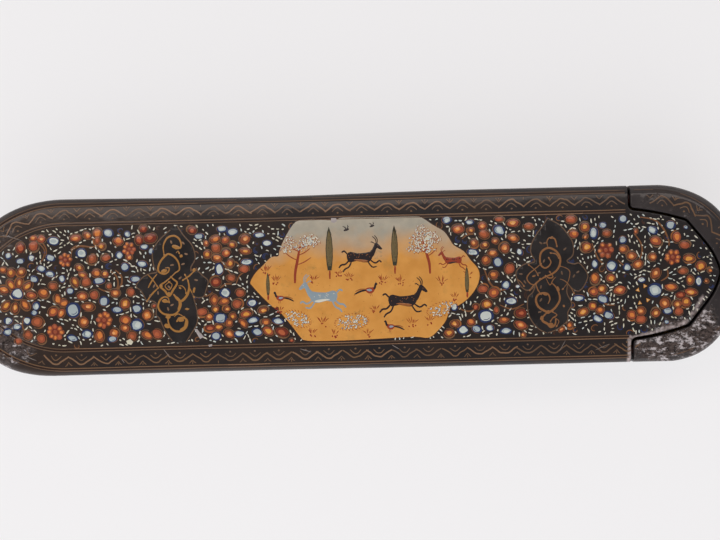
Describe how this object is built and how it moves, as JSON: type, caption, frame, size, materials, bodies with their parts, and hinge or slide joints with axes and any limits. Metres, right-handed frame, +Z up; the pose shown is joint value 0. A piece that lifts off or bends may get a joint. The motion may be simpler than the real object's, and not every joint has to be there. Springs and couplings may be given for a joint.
{
  "type": "pen box",
  "caption": "Long lacquered pasteboard pen box with round ends; a drawer with a brass inkwell slides out of one end under a pointed tongue.",
  "frame": {"origin": "middle of the box's flat base, on the surface it lies on", "axes": "+X along the box towards the drawer's head, +Y across it, +Z up"},
  "size_m": [0.248, 0.056, 0.042],
  "materials": {
    "lacquered_pasteboard": "black ground painted with flowers under clear lacquer",
    "painted_pasteboard": "red paint, satin",
    "lining_paper": "red paper flecked with gold",
    "brass": "tarnished",
    "silk": "inky tangled silk"
  },
  "bodies": {
    "case": {"case_shell": "lacquered_pasteboard", "case_lining": "lining_paper"},
    "drawer": {"drawer_head": "lacquered_pasteboard", "drawer_tray": "painted_pasteboard", "drawer_lining": "lining_paper", "ink_partition": "painted_pasteboard", "inkwell_body": "brass", "inkwell_top": "brass", "inkwell_hinge_pin": "brass", "ink_wad": "silk"},
    "inkwell_lid": {"inkwell_lid": "brass", "inkwell_knob": "brass"}
  },
  "joints": [
    {"name": "drawer_slide", "type": "slide", "parent": "case", "child": "drawer", "axis": [1, 0, 0], "range_m": [0, 0.24]},
    {"name": "inkwell_lid_hinge", "type": "hinge", "parent": "drawer", "child": "inkwell_lid", "pos_m": [0.10815, 0, 0.021], "axis": [0, 1, 0], "range_deg": [0, 100]}
  ]
}
